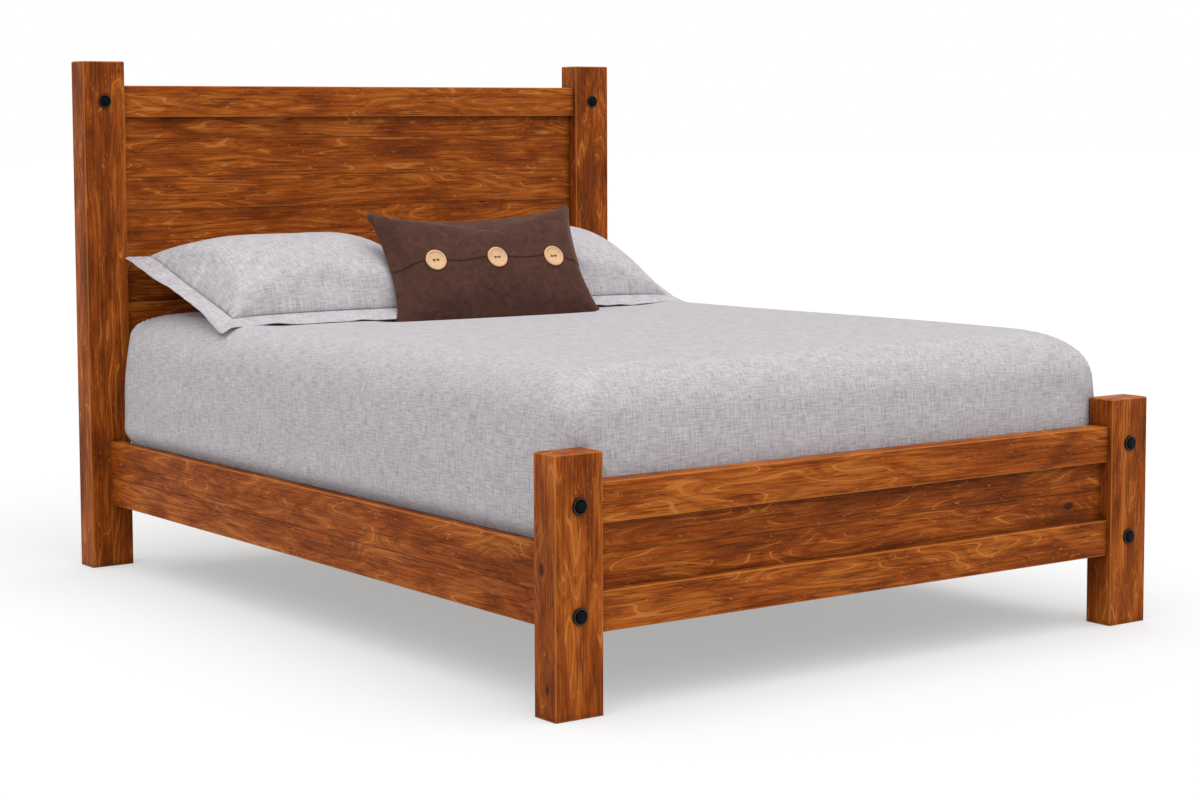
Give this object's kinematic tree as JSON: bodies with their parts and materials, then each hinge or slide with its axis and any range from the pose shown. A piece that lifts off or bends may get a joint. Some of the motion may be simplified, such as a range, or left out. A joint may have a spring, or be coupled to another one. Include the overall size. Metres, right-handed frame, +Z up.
{
  "type": "bed",
  "caption": "Low timber panel bed with square posts, a tall planked headboard, a low planked footboard and flat side rails, dressed with a coverlet, flanged shams and a lumbar cushion.",
  "frame": {"origin": "on the floor under the middle of the bed's overall length and width", "axes": "+X across the bed to the right as seen from the foot, +Y from the foot to the headboard, +Z up"},
  "size_m": [1.716, 2.246, 1.354],
  "materials": {
    "plated_steel": "zinc plated",
    "plain_pine": "planed, unfinished pine",
    "coverlet_linen": "mottled lavender-grey linen weave",
    "pale_wood": "turned and waxed pale wood",
    "stained_timber": "hand-rubbed red-brown stain and dark glaze on knotty pine, satin lacquer",
    "black_hardware": "black satin enamel",
    "ticking": "woven cotton ticking",
    "foot_rubber": "moulded rubber",
    "brown_suede": "dark brown suede cloth",
    "mattress_knit": "quilted knit",
    "sham_linen": "mottled lavender-grey linen weave"
  },
  "bodies": {
    "root": {"beam_stirrup": "plated_steel", "centre_beam": "plain_pine", "centre_leg_1": "plain_pine", "centre_leg_2": "plain_pine", "centre_leg_3": "plain_pine", "coverlet": "coverlet_linen", "cushion_buttons": "pale_wood", "foot_bottom_rail": "stained_timber", "foot_panel_board_lower": "stained_timber", "foot_panel_board_upper": "stained_timber", "foot_post_left": "stained_timber", "foot_post_right": "stained_timber", "foot_tenon_bolts": "black_hardware", "foot_top_rail": "stained_timber", "foundation": "ticking", "head_bottom_rail": "stained_timber", "head_post_left": "stained_timber", "head_post_right": "stained_timber", "head_tenon_bolts": "black_hardware", "head_top_rail": "stained_timber", "headboard_plank_1": "stained_timber", "headboard_plank_2": "stained_timber", "headboard_plank_3": "stained_timber", "headboard_plank_4": "stained_timber", "headboard_plank_5": "stained_timber", "headboard_plank_6": "stained_timber", "ledger_left": "plain_pine", "ledger_right": "plain_pine", "leg_feet": "foot_rubber", "lumbar_cushion": "brown_suede", "mattress": "mattress_knit", "post_hook_plates": "plated_steel", "rail_hook_plates": "plated_steel", "sham_left": "sham_linen", "sham_right": "sham_linen", "side_rail_left": "stained_timber", "side_rail_right": "stained_timber", "slat_01": "plain_pine", "slat_02": "plain_pine", "slat_03": "plain_pine", "slat_04": "plain_pine", "slat_05": "plain_pine", "slat_06": "plain_pine", "slat_07": "plain_pine", "slat_08": "plain_pine", "slat_09": "plain_pine", "slat_10": "plain_pine", "slat_11": "plain_pine"}
  },
  "joints": []
}
